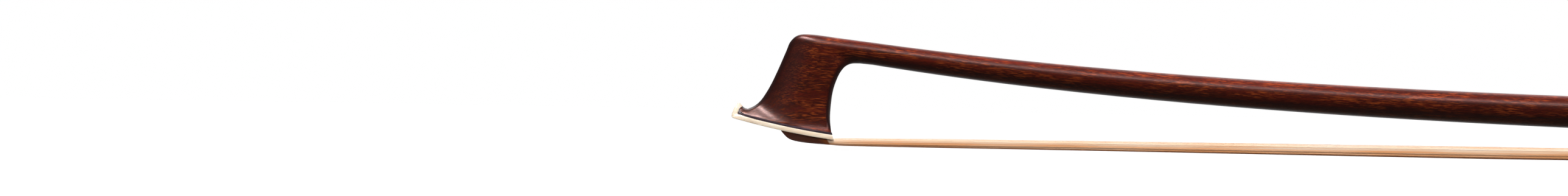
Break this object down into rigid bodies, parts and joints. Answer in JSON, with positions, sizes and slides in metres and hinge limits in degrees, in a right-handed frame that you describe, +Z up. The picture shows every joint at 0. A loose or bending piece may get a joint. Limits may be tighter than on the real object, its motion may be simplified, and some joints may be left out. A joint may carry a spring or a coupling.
{
  "type": "violin bow",
  "caption": "Slender cambered wooden violin bow, pale tip plate, ribbon of hair, black frog with silver fittings that slides when the end button is turned.",
  "frame": {"origin": "under the middle of the whole bow at its lowest point, which is the front edge of the ferrule's flat", "axes": "+X along the bow from the head to the button, +Y to the far side in the picture, +Z up from the hair to the stick"},
  "size_m": [0.7414, 0.013, 0.031],
  "materials": {
    "pernambuco": "polished dark red-brown, fine orange streaks",
    "ebony": "polished black",
    "bone": "polished warm white",
    "maple": "raw",
    "horsehair": "fine parallel strands",
    "silver": "polished",
    "steel": "plain",
    "brass": "plain",
    "pearl": "polished shell",
    "leather": "dark brown",
    "dark_lapping": "black strip",
    "light_lapping": "pale strip",
    "thread": "waxed"
  },
  "bodies": {
    "stick": {"stick": "pernambuco", "tip_plate": "bone", "tip_liner": "ebony", "tip_plug": "maple", "tip_hair": "horsehair", "tip_knot_thread": "thread", "hair_ribbon": "horsehair", "thumb_leather": "leather", "lapping_light": "light_lapping", "lapping_dark": "dark_lapping"},
    "frog": {"frog_block": "ebony", "ferrule": "silver", "frog_hair": "horsehair", "frog_knot_thread": "thread", "spread_wedge": "maple", "frog_plug": "maple", "slide_pearl": "pearl", "slide_back": "ebony", "heel_plate": "silver", "heel_pin_lower": "silver", "heel_pin_upper": "silver", "underslide": "silver", "underslide_screw_front": "steel", "underslide_screw_rear": "steel", "pearl_eye_left": "pearl", "pearl_eye_right": "pearl", "eye_ring_left": "silver", "eye_ring_right": "silver", "eyelet": "brass"},
    "screw": {"screw_shaft": "steel", "button_core": "ebony", "button_collar_front": "silver", "button_collar_rear": "silver", "button_pearl": "pearl"}
  },
  "joints": [
    {"name": "screw_turn", "type": "hinge", "parent": "stick", "child": "screw", "pos_m": [0.35757, 0, 0.02586], "axis": [-0.9984, 0, -0.0572], "range_deg": [0, 2475]},
    {"name": "frog_slide", "type": "slide", "parent": "stick", "child": "frog", "axis": [0.9984, 0, 0.0572], "range_m": [0, 0.0055], "deforming": ["hair_ribbon"]}
  ],
  "couplings": [
    {"joint": "screw_turn", "follows": "frog_slide", "rad_per_m": 7853.9}
  ]
}
